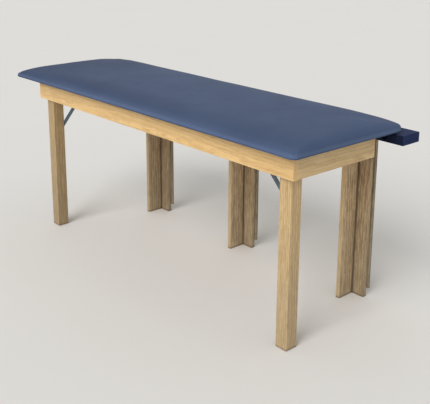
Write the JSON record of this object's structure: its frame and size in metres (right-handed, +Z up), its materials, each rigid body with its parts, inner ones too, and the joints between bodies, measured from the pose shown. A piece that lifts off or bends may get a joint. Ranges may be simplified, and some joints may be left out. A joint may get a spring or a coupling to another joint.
{
  "type": "wall-mounted folding treatment table",
  "caption": "Padded vinyl treatment table hinged to a wall rail on oak posts, with an oak apron, folding front legs held by slotted steel braces, and a wall latch for the folded top",
  "frame": {"origin": "on the floor, under the middle of the bounding box of the whole set with its wall latch", "axes": "+X runs along the table to the right as seen by a person facing the wall, +Y points to the wall, +Z is up"},
  "size_m": [1.854, 0.64, 1.39],
  "materials": {
    "vinyl": "grained slate-blue vinyl, satin",
    "oak": "clear satin varnish on straight-grained oak",
    "plywood": "bare sanded plywood",
    "dark_hardwood": "dark stain, satin",
    "blue_laminate": "dark blue laminate, satin",
    "grey_steel": "grey-blue enamel, worn at the pivots",
    "zinc_steel": "bright zinc plate, fine brushing",
    "chrome": "polished",
    "nylon": "matte"
  },
  "bodies": {
    "wall_frame": {"hinge_rail": "blue_laminate", "latch_block": "blue_laminate", "latch_plate": "chrome", "post_flange_left": "oak", "post_flange_middle": "oak", "post_flange_right": "oak", "post_web_left": "oak", "post_web_middle": "oak", "post_web_right": "oak", "rail_leaf_left": "zinc_steel", "rail_leaf_right": "zinc_steel", "top_hinge_pin_left": "zinc_steel", "top_hinge_pin_right": "zinc_steel", "wall_cleat_left": "oak", "wall_cleat_middle": "oak", "wall_cleat_right": "oak", "wall_ledger": "blue_laminate"},
    "top": {"brace_track_left": "grey_steel", "brace_track_right": "grey_steel", "cleat_leaf_left": "zinc_steel", "cleat_leaf_right": "zinc_steel", "cushion": "vinyl", "deck": "plywood", "deck_leaf_left": "zinc_steel", "deck_leaf_right": "zinc_steel", "end_rail": "oak", "front_rail": "oak", "leg_cleat_left": "dark_hardwood", "leg_cleat_right": "dark_hardwood", "leg_hinge_pin_left": "zinc_steel", "leg_hinge_pin_right": "zinc_steel", "underside_hem": "vinyl"},
    "left_leg": {"leg_left": "oak", "leg_leaf_left": "zinc_steel", "brace_stud_left": "zinc_steel", "foot_glide_left": "nylon"},
    "right_leg": {"leg_right": "oak", "leg_leaf_right": "zinc_steel", "brace_stud_right": "zinc_steel", "foot_glide_right": "nylon"},
    "left_brace": {"brace_bar_left": "grey_steel", "brace_pin_left": "zinc_steel"},
    "right_brace": {"brace_bar_right": "grey_steel", "brace_pin_right": "zinc_steel"},
    "latch": {"latch_lever": "zinc_steel", "latch_knob": "chrome"}
  },
  "joints": [
    {"name": "top_fold", "type": "hinge", "parent": "wall_frame", "child": "top", "pos_m": [0, 0.262, 0.7244], "axis": [-1, 0, 0], "range_deg": [0, 90]},
    {"name": "left_leg_fold", "type": "hinge", "parent": "top", "child": "left_leg", "pos_m": [-0.7217, -0.212, 0.7081], "axis": [0, -1, 0], "range_deg": [0, 90]},
    {"name": "right_leg_fold", "type": "hinge", "parent": "top", "child": "right_leg", "pos_m": [0.7627, -0.212, 0.7081], "axis": [0, 1, 0], "range_deg": [0, 90]},
    {"name": "left_brace_swing", "type": "hinge", "parent": "left_leg", "child": "left_brace", "pos_m": [-0.745, -0.183, 0.4958], "axis": [0, 1, 0], "range_deg": [0, 130.1]},
    {"name": "right_brace_swing", "type": "hinge", "parent": "right_leg", "child": "right_brace", "pos_m": [0.786, -0.183, 0.4958], "axis": [0, -1, 0], "range_deg": [0, 130.1]},
    {"name": "latch_turn", "type": "hinge", "parent": "wall_frame", "child": "latch", "pos_m": [-0.098, 0.2586, 1.356], "axis": [0, 1, 0], "range_deg": [0, 90]}
  ],
  "couplings": [
    {"joint": "left_brace_swing", "follows": "left_leg_fold", "ratio": 1.4444},
    {"joint": "right_brace_swing", "follows": "right_leg_fold", "ratio": 1.4444}
  ]
}
